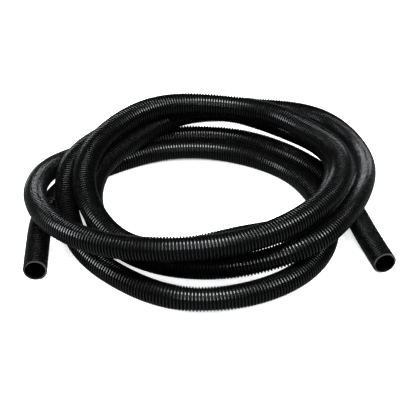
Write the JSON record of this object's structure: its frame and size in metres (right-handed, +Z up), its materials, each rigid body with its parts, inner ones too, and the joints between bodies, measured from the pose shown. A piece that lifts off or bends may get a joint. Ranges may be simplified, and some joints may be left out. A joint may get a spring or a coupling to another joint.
{
  "type": "vacuum hose",
  "caption": "Bare ribbed hose for a pool or utility vacuum, laid in a loose coil on the floor, with two open mouths whose tails swing and lift.",
  "frame": {"origin": "on the floor under the middle of the heap's bounding box", "axes": "+Z up from the floor, -Y towards the two mouths, +X to the right as seen from the mouths"},
  "size_m": [0.5951, 0.607, 0.126],
  "materials": {
    "hose_wall": "black, satin to semi-gloss, helically ribbed"
  },
  "bodies": {
    "coil": {"turn_1_back": "hose_wall", "turn_1_front": "hose_wall", "turn_2_back": "hose_wall", "turn_2_front": "hose_wall", "turn_3_back": "hose_wall", "turn_3_front": "hose_wall", "turn_4_back": "hose_wall", "turn_4_front": "hose_wall", "turn_5_back": "hose_wall"},
    "right_tail": {"right_tail": "hose_wall"},
    "right_mouth": {"right_mouth": "hose_wall"},
    "left_tail": {"left_tail": "hose_wall"},
    "left_mouth": {"left_mouth": "hose_wall"}
  },
  "joints": [
    {"name": "right_tail_swing", "type": "hinge", "parent": "coil", "child": "right_tail", "pos_m": [0.231, -0.008, 0.019], "axis": [0, 0, 1], "range_deg": [-8, 15]},
    {"name": "right_mouth_lift", "type": "hinge", "parent": "right_tail", "child": "right_mouth", "pos_m": [0.25955, -0.1225, 0.019], "axis": [-0.9703, -0.2419, 0], "range_deg": [0, 15]},
    {"name": "left_tail_swing", "type": "hinge", "parent": "coil", "child": "left_tail", "pos_m": [-0.2671, -0.07235, 0.019], "axis": [0, 0, 1], "range_deg": [-15, 8]},
    {"name": "left_mouth_lift", "type": "hinge", "parent": "left_tail", "child": "left_mouth", "pos_m": [-0.26825, -0.13834, 0.019], "axis": [-0.9986, -0.0523, 0], "range_deg": [0, 15]}
  ]
}
